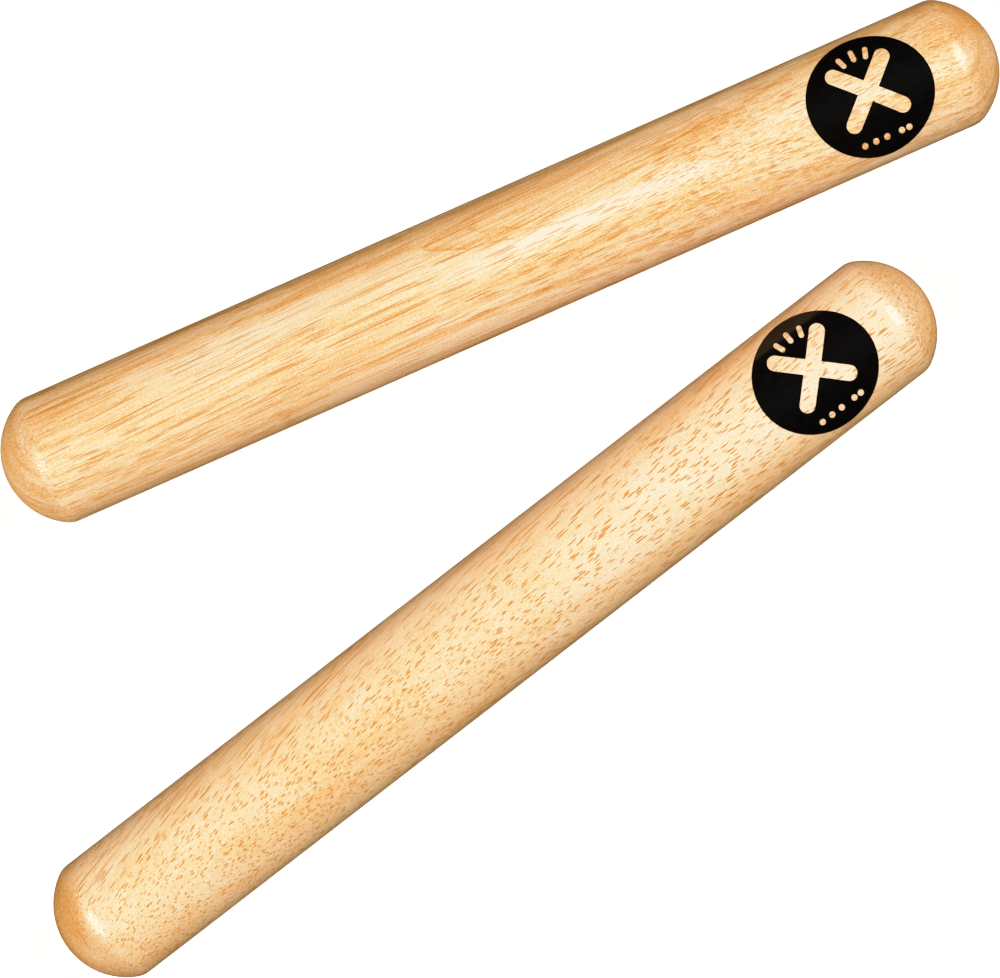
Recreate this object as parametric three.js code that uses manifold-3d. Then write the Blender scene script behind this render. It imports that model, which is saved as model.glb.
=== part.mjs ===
// A pair of claves: two solid hardwood sticks turned on a lathe, each with domed ends and a round badge
// printed on its upper side. One stick is held still and the other one strikes it.
//
// Millimetres, +Z up. Both sticks lie on the plane z = 0 with their badges up and at their +X ends.
// The resting clave runs along +X, and the striking clave lies beside it at a shallow angle. The origin is
// the middle of the pair's outline, on the plane that the sticks lie on.

import * as THREE from "three";
import { mergeVertices } from "three/addons/utils/BufferGeometryUtils.js";
import Module from "manifold-3d";

const wasm = await Module();
wasm.setup();

// ---- Driving dimensions ----

// A stick: 8 in over its domes and 1 in thick.
const LENGTH = 203.2;
const RADIUS = 25.4 / 2;
const DOME_RADIUS = 13.9; // a little flatter than a half ball, so that a shoulder shows
const SHOULDER_RADIUS = 4.7; // the rounding between the side and the dome

// The badge, as seen from above. Its ink wraps round the stick.
const BADGE_LENGTH = 24.5; // along the stick
const BADGE_WIDTH = 22.6; // across the stick
const BADGE_FROM_END = 26; // from the stick's end to the badge's middle
const INK_THICKNESS = 0.1;
const INK_GAP = 0.03; // keeps the ink clear of the wood that it is printed on

// The device left open in the badge: two crossed sticks, with three rays over their crossing and a row of
// five beats under it, spaced as they fall in a clave rhythm of sixteen steps.
const CROSSING_Y = 1;
const CROSSED_LENGTH = 17;
const CROSSED_WIDTH = 3;
const CROSSED_ANGLES = [45, 135];
const RAY_LENGTH = 2.4;
const RAY_WIDTH = 1;
const RAY_FROM_CROSSING = 7.2;
const RAY_ANGLES = [70, 90, 110];
const BEAT_RADIUS = 0.6;
const BEAT_STEPS = [0, 3, 6, 10, 12];
const BEAT_STEP = 0.75;
const BEAT_Y = -8.2;

// Where the striking clave's middle lies from the resting clave's middle, and its turn from +X.
const STRIKER_OFFSET = new THREE.Vector2(-28, -61.3);
const STRIKER_TURN = 13.9;

// How finely round shapes are divided.
const SIDES = 72;
const DOME_STEPS = 8;
const SHOULDER_STEPS = 3;
const BADGE_STEPS = 48;
const ROUND_END_STEPS = 8;

// The middles of the flats lie on the true round, and one flat faces straight down, so that a stick rests on it.
const HALF_SIDE = Math.PI / SIDES;
const TO_CORNER = 1 / Math.cos(HALF_SIDE);

// ---- The wood ----

// The shoulder's rounding touches the side and the dome, so its centre is SHOULDER_RADIUS inside both.
const shoulderCentreRadius = RADIUS - SHOULDER_RADIUS;
const domeCentreHeight = LENGTH / 2 - DOME_RADIUS;
const shoulderCentreHeight =
  domeCentreHeight + Math.sqrt((DOME_RADIUS - SHOULDER_RADIUS) ** 2 - shoulderCentreRadius ** 2);
// The angle from the side's normal at which the rounding meets the dome.
const shoulderSweep = Math.atan2(shoulderCentreHeight - domeCentreHeight, shoulderCentreRadius);

// Points on a round from one angle up to another, without the last. x is the radius and y is along the stick.
function arcPoints(radius, centreRadius, centreHeight, from, to, steps) {
  return Array.from({ length: steps }, (_, i) => {
    const angle = from + ((to - from) * i) / steps;
    return new THREE.Vector2(centreRadius + radius * Math.cos(angle), centreHeight + radius * Math.sin(angle));
  });
}

// A stick's end in profile, from the side to the pole.
function endProfile() {
  return [
    ...arcPoints(SHOULDER_RADIUS, shoulderCentreRadius, shoulderCentreHeight, 0, shoulderSweep, SHOULDER_STEPS),
    ...arcPoints(DOME_RADIUS, 0, domeCentreHeight, shoulderSweep, Math.PI / 2, DOME_STEPS),
    new THREE.Vector2(0, LENGTH / 2),
  ];
}

function stickGeometry() {
  const upper = endProfile().map((point) => new THREE.Vector2(point.x * TO_CORNER, point.y));
  const lower = upper.map((point) => new THREE.Vector2(point.x, -point.y)).reverse();
  const stick = new THREE.LatheGeometry([...lower, ...upper], SIDES, HALF_SIDE);
  return stick.rotateZ(-Math.PI / 2); // from upright to lying along +X
}

// ---- The badge ----

function solidOf(geometry) {
  const bare = geometry.clone();
  bare.deleteAttribute("normal");
  bare.deleteAttribute("uv");
  const merged = mergeVertices(bare);
  return new wasm.Manifold(
    new wasm.Mesh({
      numProp: 3,
      vertProperties: merged.attributes.position.array,
      triVerts: new Uint32Array(merged.index.array),
    }),
  );
}

function geometryOf(solid) {
  const mesh = solid.getMesh();
  const geometry = new THREE.BufferGeometry();
  geometry.setAttribute("position", new THREE.BufferAttribute(mesh.vertProperties, 3));
  geometry.setIndex(new THREE.BufferAttribute(mesh.triVerts, 1));
  geometry.computeVertexNormals();
  return geometry;
}

// A bar along X with the stick's own sides, to the given true radius.
function barSolid(radius, length) {
  const corner = radius * TO_CORNER;
  const bar = new THREE.CylinderGeometry(corner, corner, length, SIDES, 1, false, HALF_SIDE);
  return solidOf(bar.rotateZ(-Math.PI / 2));
}

// A slot with round ends. Its middle is at (x, y), and degrees is its turn from +X.
function slot(length, width, degrees, x, y) {
  const angle = degrees * THREE.MathUtils.DEG2RAD;
  const reachX = ((length - width) / 2) * Math.cos(angle);
  const reachY = ((length - width) / 2) * Math.sin(angle);
  const outline = new THREE.Shape();
  outline.absarc(x + reachX, y + reachY, width / 2, angle - Math.PI / 2, angle + Math.PI / 2);
  outline.absarc(x - reachX, y - reachY, width / 2, angle + Math.PI / 2, angle + (3 * Math.PI) / 2);
  return outline;
}

function ray(degrees) {
  const angle = degrees * THREE.MathUtils.DEG2RAD;
  const x = RAY_FROM_CROSSING * Math.cos(angle);
  const y = RAY_FROM_CROSSING * Math.sin(angle);
  return slot(RAY_LENGTH, RAY_WIDTH, degrees, x, CROSSING_Y + y);
}

function beat(step) {
  const lastStep = BEAT_STEPS[BEAT_STEPS.length - 1];
  const dot = new THREE.Shape();
  dot.absarc((step - lastStep / 2) * BEAT_STEP, BEAT_Y, BEAT_RADIUS, 0, 2 * Math.PI);
  return dot;
}

// An outline seen from above, taken up from the stick's axis to well over its top.
function prism(outline, divisions) {
  const straight = { depth: 2 * RADIUS, bevelEnabled: false, curveSegments: divisions };
  return solidOf(new THREE.ExtrudeGeometry(outline, straight));
}

function badgeGeometry() {
  const disc = new THREE.Shape();
  disc.absellipse(0, 0, BADGE_LENGTH / 2, BADGE_WIDTH / 2, 0, 2 * Math.PI);
  const device = [
    ...CROSSED_ANGLES.map((degrees) => slot(CROSSED_LENGTH, CROSSED_WIDTH, degrees, 0, CROSSING_Y)),
    ...RAY_ANGLES.map(ray),
    ...BEAT_STEPS.map(beat),
  ];
  // The inner bar is the longer one, so that it cuts right through the outer one.
  const inside = barSolid(RADIUS + INK_GAP, 3 * BADGE_LENGTH);
  const outside = barSolid(RADIUS + INK_GAP + INK_THICKNESS, 2 * BADGE_LENGTH);
  let badge = outside.subtract(inside).intersect(prism(disc, BADGE_STEPS));
  for (const outline of device) {
    badge = badge.subtract(prism(outline, ROUND_END_STEPS));
  }
  return geometryOf(badge).translate(LENGTH / 2 - BADGE_FROM_END, 0, 0);
}

// ---- Materials ----

const wood = new THREE.MeshStandardMaterial({ color: 0xf3cf95, roughness: 0.3, metalness: 0 });
const ink = new THREE.MeshStandardMaterial({ color: 0x100d0c, roughness: 0.25, metalness: 0 });

// ---- Assembly ----

// One clave, lying along +X on z = 0 with its middle over the origin.
function clave(name) {
  const stick = new THREE.Mesh(stickGeometry(), wood);
  stick.name = `${name}_stick`;
  const badge = new THREE.Mesh(badgeGeometry(), ink);
  badge.name = `${name}_badge`;
  const group = new THREE.Group();
  group.add(stick, badge);
  group.position.z = RADIUS;
  return group;
}

const resting = clave("resting_clave");
const striking = clave("striking_clave");
striking.position.x = STRIKER_OFFSET.x;
striking.position.y = STRIKER_OFFSET.y;
striking.rotation.z = STRIKER_TURN * THREE.MathUtils.DEG2RAD;

const pair = new THREE.Group();
pair.add(resting, striking);
const middle = new THREE.Box3().setFromObject(pair, true).getCenter(new THREE.Vector3());
pair.position.set(-middle.x, -middle.y, 0);

export default pair;
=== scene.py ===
# A pair of claves: two turned hardwood sticks, clear lacquered, with a round black badge printed on each.
import math

import bmesh
import bpy
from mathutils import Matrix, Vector


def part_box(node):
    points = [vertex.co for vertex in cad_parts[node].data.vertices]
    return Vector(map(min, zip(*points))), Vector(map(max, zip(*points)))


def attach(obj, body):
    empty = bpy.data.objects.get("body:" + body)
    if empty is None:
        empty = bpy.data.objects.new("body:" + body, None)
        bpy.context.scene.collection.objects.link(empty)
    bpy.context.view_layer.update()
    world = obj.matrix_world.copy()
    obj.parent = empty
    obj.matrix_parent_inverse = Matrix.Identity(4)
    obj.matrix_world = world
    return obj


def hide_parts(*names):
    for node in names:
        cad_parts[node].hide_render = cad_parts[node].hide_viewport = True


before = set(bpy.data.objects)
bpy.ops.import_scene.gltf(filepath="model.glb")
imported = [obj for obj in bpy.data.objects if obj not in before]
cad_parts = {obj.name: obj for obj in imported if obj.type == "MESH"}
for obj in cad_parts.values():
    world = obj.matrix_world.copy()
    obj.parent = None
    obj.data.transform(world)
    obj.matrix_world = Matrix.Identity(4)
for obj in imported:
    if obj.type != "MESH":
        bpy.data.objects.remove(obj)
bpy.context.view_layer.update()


# ---- The blanks: where each clave lies ----
# A clave is a solid round of plantation hardwood, an inch thick and eight inches long. Both lie loose on
# the bench, one along +X and the other turned a little from it, with the badge ends pointing the same way.

def node_middle(node):
    low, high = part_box(node)
    return (low + high) / 2


def lying_turn(clave):
    to_badge = node_middle(f"{clave}_badge") - node_middle(f"{clave}_stick")
    return math.atan2(to_badge.y, to_badge.x)


resting_low, resting_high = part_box("resting_clave_stick")
STICK_RADIUS = (resting_high.z - resting_low.z) / 2
HALF_LENGTH = (resting_high.x - resting_low.x) / 2


# ---- The turned sticks ----
# The blank is turned to a plain cylinder, and each end is brought to a dome a little flatter than a half
# ball, with the shoulder rounded over by the sanding. One piece of wood: nothing is joined or let in.

STICK_SIDES = 192
SIDE_RINGS = 47
DOME_RADIUS = 0.0139
SHOULDER_RADIUS = 0.0047
SHOULDER_RINGS = 6
DOME_RINGS = 20

shoulder_centre_radius = STICK_RADIUS - SHOULDER_RADIUS
dome_centre = HALF_LENGTH - DOME_RADIUS
shoulder_centre = dome_centre + math.sqrt((DOME_RADIUS - SHOULDER_RADIUS) ** 2 - shoulder_centre_radius**2)
shoulder_sweep = math.atan2(shoulder_centre - dome_centre, shoulder_centre_radius)


def pick(obj, kind, test):
    """Leaves selected the faces, edges or verts of the object in edit mode that pass the test."""
    bpy.ops.mesh.select_mode(type={"faces": "FACE", "edges": "EDGE", "verts": "VERT"}[kind])
    bpy.ops.mesh.select_all(action="DESELECT")
    shape = bmesh.from_edit_mesh(obj.data)
    for part in getattr(shape, kind):
        if test(part):
            part.select_set(True)
    bmesh.update_edit_mesh(obj.data)


def end_rings():
    """(radius, distance from the middle) of each ring from the side to just short of the pole."""
    rings = []
    for i in range(1, SHOULDER_RINGS + 1):
        angle = shoulder_sweep * i / SHOULDER_RINGS
        radius = shoulder_centre_radius + SHOULDER_RADIUS * math.cos(angle)
        rings.append((radius, shoulder_centre + SHOULDER_RADIUS * math.sin(angle)))
    for i in range(1, DOME_RINGS):
        angle = shoulder_sweep + (math.pi / 2 - shoulder_sweep) * i / DOME_RINGS
        rings.append((DOME_RADIUS * math.cos(angle), dome_centre + DOME_RADIUS * math.sin(angle)))
    return rings


def choose(obj):
    """Leaves this object selected by itself, and active."""
    bpy.ops.object.select_all(action="DESELECT")
    obj.select_set(True)
    bpy.context.view_layer.objects.active = obj


def settle(obj, clave):
    """Lays an object made upright on the origin down in its clave's place, and leaves it unturned there."""
    obj.rotation_euler = (0, math.pi / 2, lying_turn(clave))
    obj.location = node_middle(f"{clave}_stick")
    choose(obj)
    bpy.ops.object.transform_apply(location=True, rotation=True, scale=True)


def turn_stick(clave):
    bpy.ops.object.select_all(action="DESELECT")
    bpy.ops.mesh.primitive_cylinder_add(vertices=STICK_SIDES, radius=STICK_RADIUS, depth=2 * shoulder_centre)
    stick = bpy.context.object
    stick.name = f"{clave}_wood"
    bpy.ops.object.mode_set(mode="EDIT")
    pick(stick, "edges", lambda edge: abs(edge.verts[0].co.z - edge.verts[1].co.z) > shoulder_centre)
    bpy.ops.mesh.subdivide(number_cuts=SIDE_RINGS)
    for end in (-1, 1):
        pick(stick, "faces", lambda face: face.normal.z * end > 0.9)
        last_radius, last_place = STICK_RADIUS, shoulder_centre
        for radius, place in end_rings():
            step = end * (place - last_place)
            bpy.ops.mesh.extrude_region_move(TRANSFORM_OT_translate={"value": (0, 0, step)})
            shrink = radius / last_radius
            bpy.ops.transform.resize(value=(shrink, shrink, 1), center_override=(0, 0, end * place))
            last_radius, last_place = radius, place
        step = end * (HALF_LENGTH - last_place)
        bpy.ops.mesh.extrude_region_move(TRANSFORM_OT_translate={"value": (0, 0, step)})
        bpy.ops.mesh.merge(type="CENTER")
    bpy.ops.object.mode_set(mode="OBJECT")
    settle(stick, clave)
    bpy.ops.object.shade_smooth()
    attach(stick, clave)
    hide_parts(f"{clave}_stick")
    return stick


# ---- The wood ----
# Pale plantation hardwood with open pores. The pores are long thin vessels that follow the fibres, so where
# the turning cuts across them they show as short brown dashes, and on the domes as dots.

class Wire:
    """One socket of a material's nodes. Arithmetic on it adds Math nodes, and node() adds any other node."""

    def __init__(self, tree, socket=None):
        self.tree = tree
        self.socket = socket

    def node(self, kind, settings=None, inputs=None, out=0):
        node = self.tree.nodes.new(kind)
        for name, value in (settings or {}).items():
            if name == "stops":
                ramp = node.color_ramp
                while len(ramp.elements) < len(value):
                    ramp.elements.new(1)
                for element, (place, colour) in zip(ramp.elements, value):
                    element.position = place
                    element.color = (*colour, 1)
            else:
                setattr(node, name, value)
        for name, value in (inputs or {}).items():
            if isinstance(value, Wire):
                self.tree.links.new(value.socket, node.inputs[name])
            else:
                node.inputs[name].default_value = value
        return Wire(self.tree, node.outputs[out] if node.outputs else None)

    def math(self, operation, *others):
        values = [self, *others]
        return self.node("ShaderNodeMath", {"operation": operation}, dict(enumerate(values)))

    def __add__(self, other):
        return self.math("ADD", other)

    def __sub__(self, other):
        return self.math("SUBTRACT", other)

    def __mul__(self, other):
        return self.math("MULTIPLY", other)

    def __truediv__(self, other):
        return self.math("DIVIDE", other)

    def __rsub__(self, other):
        return self.node("ShaderNodeMath", {"operation": "SUBTRACT"}, {0: other, 1: self})

    __radd__ = __add__
    __rmul__ = __mul__

    def ease(self, start, end, low=0.0, high=1.0):
        """low up to start, high from end on, and a smooth step between."""
        limits = {"From Min": start, "From Max": end, "To Min": low, "To Max": high}
        smooth = {"interpolation_type": "SMOOTHSTEP"}
        return self.node("ShaderNodeMapRange", smooth, {"Value": self, **limits})

    def blend(self, first, second):
        """The colour between first and second that this share of the way gives."""
        return self.node("ShaderNodeMix", {"data_type": "RGBA"}, {0: self, 6: first, 7: second}, out=2)


def new_material(name):
    material = bpy.data.materials.new(name)
    material.use_nodes = True
    tree = material.node_tree
    tree.nodes.clear()
    return material, Wire(tree)


def finish_surface(sheet, values):
    shader = sheet.node("ShaderNodeBsdfPrincipled", None, values)
    sheet.node("ShaderNodeOutputMaterial", None, {"Surface": shader})


def stick_place(sheet, clave):
    """(along, across, up) from the stick's middle, in millimetres, whichever way the stick lies."""
    place = sheet.node("ShaderNodeTexCoord", out="Object")
    stick = {"Location": node_middle(f"{clave}_stick"), "Rotation": (0, 0, lying_turn(clave))}
    millimetres = {"Vector": place, **stick, "Scale": (0.001, 0.001, 0.001)}
    local = sheet.node("ShaderNodeMapping", {"vector_type": "TEXTURE"}, millimetres)
    return [local.node("ShaderNodeSeparateXYZ", None, {0: local}, out=axis) for axis in "XYZ"]


def cloud(along, across, up, detail=2.0, roughness=0.5):
    """Smooth noise about 0.5, at a point given in the cloud's own sizes."""
    point = along.node("ShaderNodeCombineXYZ", None, {"X": along, "Y": across, "Z": up})
    return along.node(
        "ShaderNodeTexNoise", None, {"Vector": point, "Scale": 1.0, "Detail": detail, "Roughness": roughness}
    )


def vessels(fibre_across, fibre_up, along, per_mm, size, crowd, breaks_per_mm):
    """1 inside a vessel and 0 outside it. They are wider where crowd is high."""
    point = along.node("ShaderNodeCombineXYZ", None, {"X": fibre_across, "Y": fibre_up, "Z": 0.0})
    cell = {"Vector": point, "Scale": per_mm, "Randomness": 1.0}
    flat = {"voronoi_dimensions": "2D", "feature": "F1"}
    distance = along.node("ShaderNodeTexVoronoi", flat, cell, out="Distance")
    chance = along.node("ShaderNodeTexVoronoi", flat, cell, out="Color")
    chance = along.node("ShaderNodeSeparateColor", None, {0: chance}, out=0)
    broken = cloud(along * breaks_per_mm, fibre_across * 1.3, fibre_up * 1.3, detail=1.0)
    radius = (chance * 0.7 + 0.45) * broken.ease(0.38, 0.54, 0.2, 1.0) * crowd * (size * per_mm)
    return (radius - distance).ease(-0.01 * per_mm, 0.01 * per_mm)


CREAM_TO_TAN = [
    (0.0, (0.985, 0.73, 0.54)),
    (0.2, (0.97, 0.655, 0.42)),
    (0.48, (0.95, 0.545, 0.27)),
    (0.76, (0.90, 0.42, 0.14)),
    (1.0, (0.74, 0.28, 0.045)),
]
END_GRAIN_BROWN = (0.72, 0.29, 0.055, 1)
PORE_BROWN = (0.62, 0.215, 0.0, 1)
DOME_STARTS = 92.8  # millimetres from the stick's middle
DOME_IN_FULL = 96.5
PORE_DEPTH = 0.00005


def lacquered_wood(sheet, along, warmth, dome_warmth, amber, pore, grain, shine):
    """Colours the wood by its warmth, from pale cream at -0.25 to tan at 1, and puts the lacquer over it."""
    colour = warmth.node("ShaderNodeValToRGB", {"stops": CREAM_TO_TAN}, {0: (warmth + 0.25) * 0.8})
    # The domes cut right across the fibres, which take up more of the lacquer and turn darker.
    across_fibres = along.math("ABSOLUTE").ease(DOME_STARTS, DOME_IN_FULL)
    colour = (across_fibres * dome_warmth + amber).blend(colour, END_GRAIN_BROWN)
    colour = pore.blend(colour, PORE_BROWN)
    relief = grain * 0.12 - pore
    bump = relief.node("ShaderNodeBump", None, {"Height": relief, "Distance": PORE_DEPTH, "Strength": 0.7})
    lacquer = {"Coat Weight": shine, "Coat Roughness": 0.23, "Coat IOR": 1.5}
    finish_surface(sheet, {"Base Color": colour, "Roughness": 0.58, "Normal": bump, **lacquer})


RESTING_TIP = 0.42  # how far the growth layers are tipped, in radians


def resting_wood():
    material, sheet = new_material("streaked_pale_hardwood")
    along, across, up = stick_place(sheet, "resting_clave")
    # The fibres rise a little across the stick and wave in and out of its surface.
    sway = cloud(along * 0.016, across * 0.03, up * 0.03, detail=1.0) * 5.0
    dive = cloud(along * 0.02 + 7.3, across * 0.03, up * 0.03, detail=1.0) * 2.2
    steeper = along.math("MAXIMUM", 0.0)
    fibre_across = across - along * 0.035 + sway
    fibre_up = up + along * 0.015 + steeper * steeper * 0.0006 + dive
    # A swell in the growth layers shows as tongues above the middle, opening towards the badge. Each layer
    # ends in a sharp dark line and fades inwards, and the outermost is the plainest.
    wander = cloud(along * 0.06, across * 0.12, up * 0.12, detail=2.0) * 5.0
    off_swell = across - 8.6 + wander * 0.45
    off_swell = off_swell + off_swell.math("MAXIMUM", 0.0) * 1.2
    tongue = along * 0.11 - off_swell * off_swell * 0.055 + wander * 0.25 - 0.2
    swell = tongue.ease(-1.02, -0.95) * along.ease(15.0, 75.0, 1.0, 0.0)
    swell = swell * across.ease(1.0, 3.5) * across.ease(7.0, 10.5, 1.0, 0.2) * up.ease(0.0, 4.0)
    rings = tongue.math("FRACT").ease(0.0, 0.25, 1.0, 0.0) * tongue.ease(-0.7, 1.0, 1.0, 0.15) * swell
    # Growth layers, far from the pith, tipped so that they lie flat under a line a little above the middle.
    depth = fibre_across * math.sin(RESTING_TIP) + fibre_up * math.cos(RESTING_TIP)
    layers = cloud(depth * 0.75, along * 0.006, fibre_across * 0.05, detail=5.0, roughness=0.64)
    streaks = cloud(along * 0.03, fibre_across * 2.4, fibre_up * 2.4, detail=6.0, roughness=0.8)
    drift = cloud(along * 0.03 + 3.1, fibre_across * 0.16, fibre_up * 0.16, detail=2.0)
    grain = cloud(along * 2.0, fibre_across * 7.0, fibre_up * 7.0, detail=3.0, roughness=0.8)
    # A clear band runs up the middle beside the tongues, and the upper edge is darker near the plain end.
    band_middle = along.ease(0.0, 32.0, -0.3, 2.4) - along.ease(42.0, 60.0, 0.0, 1.4)
    off_band = (across - band_middle).math("ABSOLUTE") / along.ease(5.0, 40.0, 1.0, 1.5)
    clear = off_band.ease(1.0, 3.6, 1.0, 0.0) * along.ease(-18.0, 6.0) * up.ease(0.0, 6.0)
    clear = clear * along.ease(62.0, 90.0, 1.0, 0.4)
    edge = across.ease(7.5, 11.0) * along.ease(-25.0, 15.0, 1.0, 0.0)
    # The lower side is a little paler, and the upper corner of the badge end is a little darker.
    paler = across.ease(-9.0, -3.0, 0.15, 0.0)
    badge_end = along.ease(82.0, 92.0) * across.ease(0.0, 5.0)
    swell = swell * (streaks * 1.4 - 0.43)
    warmth = (layers - 0.5) * 1.8 + (streaks - 0.5) * 2.6 + (drift - 0.5) * 0.7 + (grain - 0.5) * 3.2
    warmth = warmth + 0.42 + rings * 0.45 + swell - clear * 0.36 + edge * 0.13 + badge_end * 0.3 - paler
    crowd = (layers + streaks) * 0.9 + 0.15
    pore = vessels(fibre_across, fibre_up, along, per_mm=3.3, size=0.085, crowd=crowd, breaks_per_mm=0.1)
    fleck = cloud(along, fibre_across * 2.6, fibre_up * 2.6, detail=3.0, roughness=0.8)
    dome_warmth = (layers - 0.5) * 1.2 + (fleck - 0.5) * 2.2 + 0.38
    # The lacquer is thinner on the plain end.
    shine = along.ease(-97.0, -88.0, 0.5, 1.0)
    lacquered_wood(sheet, along, warmth, dome_warmth, 0.0, pore * 0.9, grain, shine)
    return material


STRIKING_TIP = 0.3


def striking_wood():
    material, sheet = new_material("pored_pale_hardwood")
    along, across, up = stick_place(sheet, "striking_clave")
    # Near the plain end the fibres sweep across the stick; towards the badge they straighten.
    swept = (30.0 - along).math("MAXIMUM", 0.0)
    sway = cloud(along * 0.016, across * 0.03, up * 0.03, detail=1.0) * 3.0
    fibre_across = across - along * 0.03 + swept * swept * 0.001 + sway
    dive = cloud(along * 0.02, across * 0.03, up * 0.03) * 2.0
    fibre_up = up + along * 0.13 - swept * swept * 0.0006 + dive
    depth = fibre_across * math.sin(STRIKING_TIP) + fibre_up * math.cos(STRIKING_TIP)
    layers = cloud(depth * 0.5, along * 0.006, fibre_across * 0.05, detail=4.0)
    streaks = cloud(along * 0.05, fibre_across * 0.9, fibre_up * 0.9, detail=4.0, roughness=0.6)
    drift = cloud(along * 0.03 + 3.1, fibre_across * 0.1, fibre_up * 0.1, detail=2.0)
    grain = cloud(along * 2.6, fibre_across * 6.5, fibre_up * 6.5, detail=3.0, roughness=0.8)
    warmth = (layers - 0.5) * 0.6 + (streaks - 0.5) * 0.8 + (drift - 0.5) * 0.6 + (grain - 0.5) * 3.2
    # Its upper side pales towards the badge.
    warmth = warmth + 0.31 - along.ease(-15.0, 40.0, 0.0, 0.32) * up.ease(8.2, 11.6)
    # The plain end took up more of the lacquer on one side.
    amber = (along - across * 0.5).ease(-98.5, -95.0, 0.5, 0.0) * across.ease(-6.0, 3.0, 0.2, 1.0)
    crowd = (layers + drift) * 0.35 + 0.65
    pore = vessels(fibre_across, fibre_up, along, per_mm=2.2, size=0.128, crowd=crowd, breaks_per_mm=0.18)
    fleck = cloud(along, fibre_across * 2.6, fibre_up * 2.6, detail=3.0, roughness=0.8)
    dome_warmth = (layers - 0.5) * 0.8 + (fleck - 0.5) * 2.2 + 0.36
    lacquered_wood(sheet, along, warmth, dome_warmth, amber * (fleck * 1.6 + 0.2), pore, grain, 1.0)
    return material


resting_stick = turn_stick("resting_clave")
resting_stick.data.materials.append(resting_wood())

striking_stick = turn_stick("striking_clave")
striking_stick.data.materials.append(striking_wood())


# ---- The printed badges ----
# Each is one pass of black ink, laid with a soft pad that wraps it round the wood before the lacquer goes on.
# Its device is left open to bare wood: two crossed sticks, three rays over them and five beats under them.

INK_THICKNESS = 0.00003
INK_INSET = 0.00001
BADGE_RINGS = 60
SLEEVE_ROOM = 1.1  # the sleeve is this much longer than the badge that is cut from it
badge_low, badge_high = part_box("resting_clave_badge")
BADGE_LENGTH = badge_high.x - badge_low.x
BADGE_WIDTH = badge_high.y - badge_low.y
BADGE_PLACE = (badge_low.x + badge_high.x) / 2 - node_middle("resting_clave_stick").x
CROSSING = 0.001
CROSSED_LENGTH = 0.017
CROSSED_WIDTH = 0.003
CROSSED_TURNS = (45, 135)
RAY_LENGTH = 0.0024
RAY_WIDTH = 0.001
RAY_REACH = 0.0072
RAY_TURNS = (70, 90, 110)
BEAT_RADIUS = 0.0006
BEAT_STEPS = (0, 3, 6, 10, 12)
BEAT_STEP = 0.00075
BEAT_LINE = -0.0082
DISC_SIDES = 160
SMALL_ROUND_SIDES = 32
SMOOTH_UP_TO = math.radians(30)


def round_outline(x, y, radius_x, radius_y, sides):
    """A round or oval face at (x, y) from the badge's middle, left in edit mode for raise_prism."""
    bpy.ops.object.select_all(action="DESELECT")
    place = (x, y, 0)
    bpy.ops.mesh.primitive_circle_add(vertices=sides, radius=radius_x, fill_type="NGON", location=place)
    outline = bpy.context.object
    bpy.ops.object.transform_apply(location=True, rotation=True, scale=True)
    bpy.ops.object.mode_set(mode="EDIT")
    bpy.ops.mesh.select_all(action="SELECT")
    bpy.ops.transform.resize(value=(1, radius_y / radius_x, 1), center_override=place)
    return outline


def raise_prism(prism):
    """Draws an outline in edit mode up from the stick's axis to well over its top."""
    bpy.ops.mesh.select_all(action="SELECT")
    bpy.ops.mesh.extrude_region_move(TRANSFORM_OT_translate={"value": (0, 0, 2 * STICK_RADIUS)})
    bpy.ops.mesh.select_all(action="SELECT")
    bpy.ops.mesh.normals_make_consistent(inside=False)
    bpy.ops.object.mode_set(mode="OBJECT")
    return prism


def slot_cutter(x, y, length, width, turn):
    """A prism with round ends, turned about (x, y) from the stick's own direction."""
    cutter = round_outline(0, 0, width / 2, width / 2, SMALL_ROUND_SIDES)
    pick(cutter, "verts", lambda vert: vert.co.x > 1e-7)
    bpy.ops.transform.translate(value=((length - width) / 2, 0, 0))
    pick(cutter, "verts", lambda vert: vert.co.x < 1e-7)
    bpy.ops.transform.translate(value=(-(length - width) / 2, 0, 0))
    raise_prism(cutter)
    cutter.rotation_euler = (0, 0, turn)
    cutter.location = (x, y, 0)
    bpy.ops.object.transform_apply(location=True, rotation=True, scale=True)
    return cutter


def cut(piece, tool, operation):
    """Applies one boolean to the piece and throws the tool away."""
    choose(piece)
    modifier = piece.modifiers.new("cut", "BOOLEAN")
    modifier.operation = operation
    modifier.object = tool
    modifier.solver = "EXACT"
    bpy.ops.object.modifier_apply(modifier="cut")
    bpy.data.objects.remove(tool)


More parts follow.
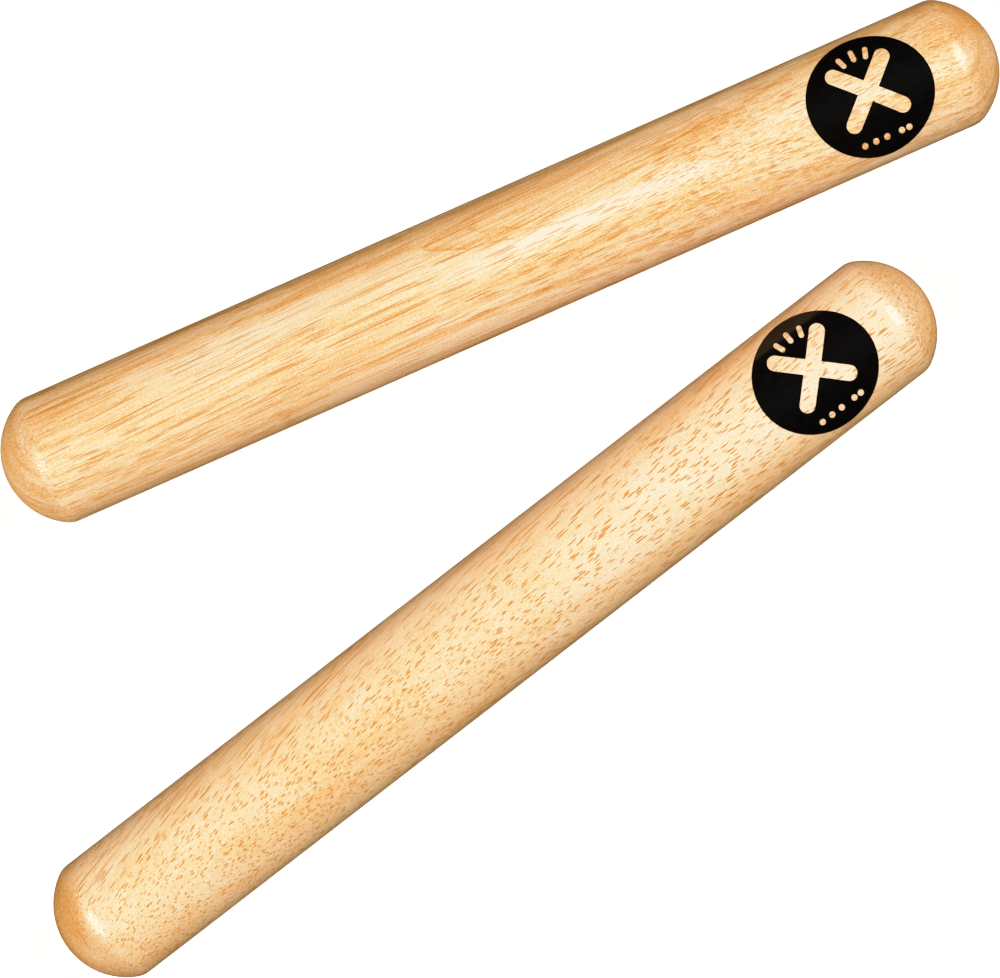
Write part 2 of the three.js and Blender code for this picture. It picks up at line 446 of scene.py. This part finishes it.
def print_badge(clave):
    # The film starts as a sleeve round the stick, with the stick's own sides.
    bpy.ops.object.select_all(action="DESELECT")
    sleeve = {"radius": STICK_RADIUS - INK_INSET, "depth": SLEEVE_ROOM * BADGE_LENGTH}
    bpy.ops.mesh.primitive_cylinder_add(vertices=STICK_SIDES, end_fill_type="NOTHING", **sleeve)
    film = bpy.context.object
    film.name = f"{clave}_ink"
    bpy.ops.object.mode_set(mode="EDIT")
    pick(film, "edges", lambda edge: abs(edge.verts[0].co.z - edge.verts[1].co.z) > BADGE_LENGTH)
    bpy.ops.mesh.subdivide(number_cuts=BADGE_RINGS)
    bpy.ops.object.mode_set(mode="OBJECT")
    film.rotation_euler = (0, math.pi / 2, 0)
    bpy.ops.object.transform_apply(location=True, rotation=True, scale=True)
    wall = film.modifiers.new("wall", "SOLIDIFY")
    wall.thickness = INK_THICKNESS
    wall.offset = 1
    bpy.ops.object.modifier_apply(modifier="wall")
    # The stencil leaves its disc and takes out the device.
    disc = raise_prism(round_outline(0, 0, BADGE_LENGTH / 2, BADGE_WIDTH / 2, DISC_SIDES))
    cut(film, disc, "INTERSECT")
    for turn in CROSSED_TURNS:
        cut(film, slot_cutter(0, CROSSING, CROSSED_LENGTH, CROSSED_WIDTH, math.radians(turn)), "DIFFERENCE")
    for turn in RAY_TURNS:
        angle = math.radians(turn)
        x, y = RAY_REACH * math.cos(angle), CROSSING + RAY_REACH * math.sin(angle)
        cut(film, slot_cutter(x, y, RAY_LENGTH, RAY_WIDTH, angle), "DIFFERENCE")
    for step in BEAT_STEPS:
        x = (step - BEAT_STEPS[-1] / 2) * BEAT_STEP
        beat = round_outline(x, BEAT_LINE, BEAT_RADIUS, BEAT_RADIUS, SMALL_ROUND_SIDES)
        cut(film, raise_prism(beat), "DIFFERENCE")
    # Off to its place on the clave.
    turn = lying_turn(clave)
    along = Vector((math.cos(turn), math.sin(turn), 0))
    film.rotation_euler = (0, 0, turn)
    film.location = node_middle(f"{clave}_stick") + along * BADGE_PLACE
    choose(film)
    bpy.ops.object.transform_apply(location=True, rotation=True, scale=True)
    bpy.ops.object.shade_smooth_by_angle(angle=SMOOTH_UP_TO)
    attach(film, clave)
    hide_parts(f"{clave}_badge")
    return film


INK_BLACK = (0.0015, 0.0013, 0.0012, 1)
INK_BROWNISH = (0.0034, 0.0027, 0.0022, 1)


def black_ink(clave):
    material, sheet = new_material(f"{clave}_black_ink")
    along, across, up = stick_place(sheet, clave)
    mottle = cloud(along * 0.6, across * 1.5, up * 1.5, detail=4.0)
    colour = mottle.ease(0.35, 0.75).blend(INK_BLACK, INK_BROWNISH)
    gloss = {"Roughness": 0.3, "Specular IOR Level": 0.1, "Coat Weight": 0.4, "Coat Roughness": 0.06}
    finish_surface(sheet, {"Base Color": colour, **gloss})
    return material


for clave in ("resting_clave", "striking_clave"):
    print_badge(clave).data.materials.append(black_ink(clave))


# ---- The bench and the studio ----
# A plain white light table, and two soft boxes, one over each end of the sticks, so that the light rakes
# along them and their sides fall away into shade.

BENCH_SIZE = 6
BENCH_GLOW = 0.65
BENCH_WHITE = (0.9, 0.9, 0.9, 1)
bpy.ops.object.select_all(action="DESELECT")
bpy.ops.mesh.primitive_plane_add(size=BENCH_SIZE)
bench = bpy.context.object
bench.name = "bench"
bench_material, bench_sheet = new_material("white_bench")
glow = {"Emission Color": (1, 1, 1, 1), "Emission Strength": BENCH_GLOW}
finish_surface(bench_sheet, {"Base Color": BENCH_WHITE, "Roughness": 0.9, **glow})
bench.data.materials.append(bench_material)
bench.visible_diffuse = False
bench.visible_glossy = False

BOX_DISTANCE = 2.0
BOX_SIZE = 1.5
BOX_POWER = 44.5
BOX_TILT = math.radians(45)
between = (lying_turn("resting_clave") + lying_turn("striking_clave")) / 2
for name, side in (("soft_box_over_badges", 1), ("soft_box_over_plain_ends", -1)):
    soft_box = bpy.data.lights.new(name, "AREA")
    soft_box.shape = "DISK"
    soft_box.size = BOX_SIZE
    soft_box.energy = BOX_POWER
    stand = bpy.data.objects.new(name, soft_box)
    bpy.context.scene.collection.objects.link(stand)
    lean = side * math.sin(BOX_TILT)
    direction = Vector((lean * math.cos(between), lean * math.sin(between), math.cos(BOX_TILT)))
    stand.location = direction * BOX_DISTANCE
    stand.rotation_euler = direction.to_track_quat("Z", "Y").to_euler()

# The bench lights nothing itself. Its glow comes up from below with the air, which is dark overhead.
DARK_OVERHEAD = 0.04
GLOW_FROM_BELOW = 0.78
HORIZON = 0.25  # the glow gives way to the dark within this much of level
WARM_GLOW = (1.0, 0.96, 0.40, 1)
world = bpy.data.worlds.new("studio_air")
world.use_nodes = True
world.node_tree.nodes.clear()
air = Wire(world.node_tree)
outwards = air.node("ShaderNodeTexCoord", out="Generated")
height = air.node("ShaderNodeSeparateXYZ", None, {0: outwards}, out="Z")
strength = height.ease(-HORIZON, HORIZON, GLOW_FROM_BELOW, DARK_OVERHEAD)
light = air.node("ShaderNodeBackground", None, {"Color": WARM_GLOW, "Strength": strength})
air.node("ShaderNodeOutputWorld", None, {"Surface": light})
bpy.context.scene.world = world
world.cycles_visibility.glossy = False

# The camera looks straight down through a long lens, rolled so that the sticks climb to the right.
LENS = 250
SENSOR = 36
FRAME_WIDTH = 0.1884659  # metres across the picture, at the height of the sticks' axes
OVER_X = -0.0046
OVER_Y = 0.00234
ROLL = math.radians(-23.81)
camera_data = bpy.data.cameras.new("camera")
camera_data.lens = LENS
camera_data.sensor_width = SENSOR
camera = bpy.data.objects.new("camera", camera_data)
bpy.context.scene.collection.objects.link(camera)
camera.location = (OVER_X, OVER_Y, STICK_RADIUS + LENS * FRAME_WIDTH / SENSOR)
camera.rotation_euler = (0, 0, ROLL)
bpy.context.scene.camera = camera

# The picture is exposed for the wood: true up to a mid tone, with a soft shoulder, and the bench burns out.
WHITE = 1.45
SHOWN_FOR_LIGHT = ((0.2, 0.2), (0.45, 0.45), (0.7, 0.69), (0.84, 0.8), (1.05, 0.91), (1.27, 0.965))
look = bpy.context.scene.view_settings
look.view_transform = "Standard"
look.use_curve_mapping = True
look.curve_mapping.white_level = (WHITE,) * 3
shoulder = look.curve_mapping.curves[3]
for scene_light, shown in SHOWN_FOR_LIGHT:
    shoulder.points.new(scene_light / WHITE, shown)
look.curve_mapping.update()
